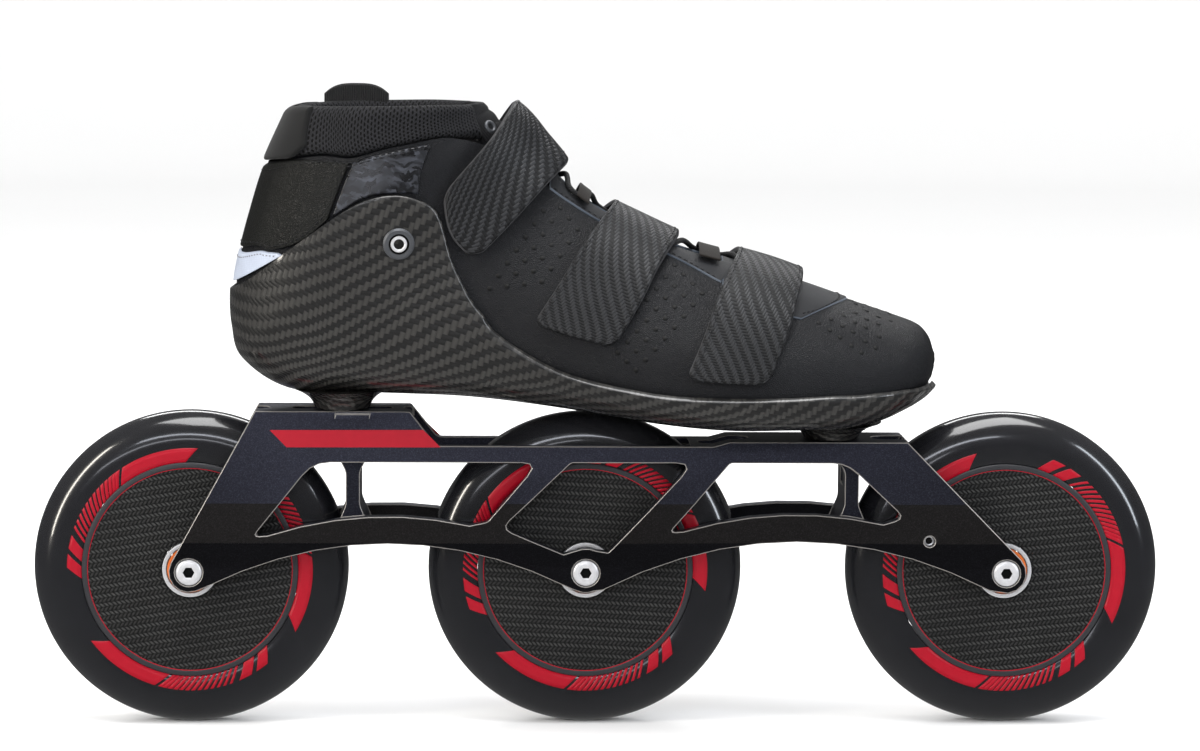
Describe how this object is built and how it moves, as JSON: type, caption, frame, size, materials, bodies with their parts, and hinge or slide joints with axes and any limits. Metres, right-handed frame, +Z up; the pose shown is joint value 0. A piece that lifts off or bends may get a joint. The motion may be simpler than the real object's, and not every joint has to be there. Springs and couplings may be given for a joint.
{
  "type": "inline speed skate",
  "caption": "Inline speed skate for a right foot: large wheels in line under a milled metal frame, with a low carbon boot closed by a lace and straps.",
  "frame": {"origin": "on the ground, midway between the front and the rear axle, in the plane of the wheels", "axes": "+X towards the toe, +Y towards the inner side of the foot, +Z up"},
  "size_m": [0.449, 0.1007, 0.2535],
  "materials": {
    "tyre": "gloss",
    "hub": "matte",
    "disc": "satin",
    "steel": "brushed",
    "aluminium": "satin",
    "seal": "matte",
    "frame": "anodised satin",
    "carbon": "clear coat",
    "leather": "satin",
    "mesh_fabric": "matte",
    "suede": "matte",
    "patch": "reflective",
    "strap": "satin"
  },
  "bodies": {
    "chassis": {"bearing_spacer_rear": "aluminium", "axle_rear": "steel", "bearing_cone_rear_outer": "steel", "bearing_cone_rear_inner": "steel", "bearing_spacer_middle": "aluminium", "axle_middle": "steel", "bearing_cone_middle_outer": "steel", "bearing_cone_middle_inner": "steel", "bearing_spacer_front": "aluminium", "axle_front": "steel", "bearing_cone_front_outer": "steel", "bearing_cone_front_inner": "steel", "frame": "frame", "carbon_shell": "carbon", "threaded_insert_rear": "steel", "mount_bolt_rear": "steel", "threaded_insert_front": "steel", "mount_bolt_front": "steel", "ankle_insert_outer": "aluminium", "cuff_panel_outer": "carbon", "ankle_insert_inner": "aluminium", "cuff_panel_inner": "carbon", "leather_upper": "leather", "collar": "mesh_fabric", "heel_patch": "patch", "heel_quarter": "leather", "heel_pad": "suede", "tongue": "mesh_fabric", "insole": "mesh_fabric", "lace": "mesh_fabric", "strap_ankle_root": "strap", "strap_instep_root": "strap", "strap_ball_root": "strap"},
    "wheel_rear": {"tyre_rear": "tyre", "hub_rear": "hub", "disc_cover_rear_outer": "disc", "disc_cover_rear_inner": "disc", "bearing_race_rear_outer": "steel", "bearing_race_rear_inner": "steel", "bearing_seal_rear_outer": "seal", "bearing_seal_rear_inner": "seal"},
    "wheel_middle": {"tyre_middle": "tyre", "hub_middle": "hub", "disc_cover_middle_outer": "disc", "disc_cover_middle_inner": "disc", "bearing_race_middle_outer": "steel", "bearing_race_middle_inner": "steel", "bearing_seal_middle_outer": "seal", "bearing_seal_middle_inner": "seal"},
    "wheel_front": {"tyre_front": "tyre", "hub_front": "hub", "disc_cover_front_outer": "disc", "disc_cover_front_inner": "disc", "bearing_race_front_outer": "steel", "bearing_race_front_inner": "steel", "bearing_seal_front_outer": "seal", "bearing_seal_front_inner": "seal"},
    "strap_ankle": {"strap_ankle_tail": "strap"},
    "strap_instep": {"strap_instep_tail": "strap"},
    "strap_ball": {"strap_ball_tail": "strap"}
  },
  "joints": [
    {"name": "rear_wheel_spin", "type": "hinge", "parent": "chassis", "child": "wheel_rear", "pos_m": [-0.162, 0, 0.0625], "axis": [0, 1, 0], "continuous": true},
    {"name": "middle_wheel_spin", "type": "hinge", "parent": "chassis", "child": "wheel_middle", "pos_m": [-0.0052, 0, 0.0625], "axis": [0, 1, 0], "continuous": true},
    {"name": "front_wheel_spin", "type": "hinge", "parent": "chassis", "child": "wheel_front", "pos_m": [0.162, 0, 0.0625], "axis": [0, 1, 0], "continuous": true},
    {"name": "ankle_strap_open", "type": "hinge", "parent": "chassis", "child": "strap_ankle", "pos_m": [-0.02189, 0, 0.23761], "axis": [-0.6632, 0, 0.7485], "range_deg": [0, 80]},
    {"name": "instep_strap_open", "type": "hinge", "parent": "chassis", "child": "strap_instep", "pos_m": [0.01886, 0, 0.20377], "axis": [-0.907, 0, 0.4211], "range_deg": [0, 110]},
    {"name": "ball_strap_open", "type": "hinge", "parent": "chassis", "child": "strap_ball", "pos_m": [0.06819, 0.00047, 0.18707], "axis": [-0.9524, -0.0369, 0.3027], "range_deg": [0, 110]}
  ]
}
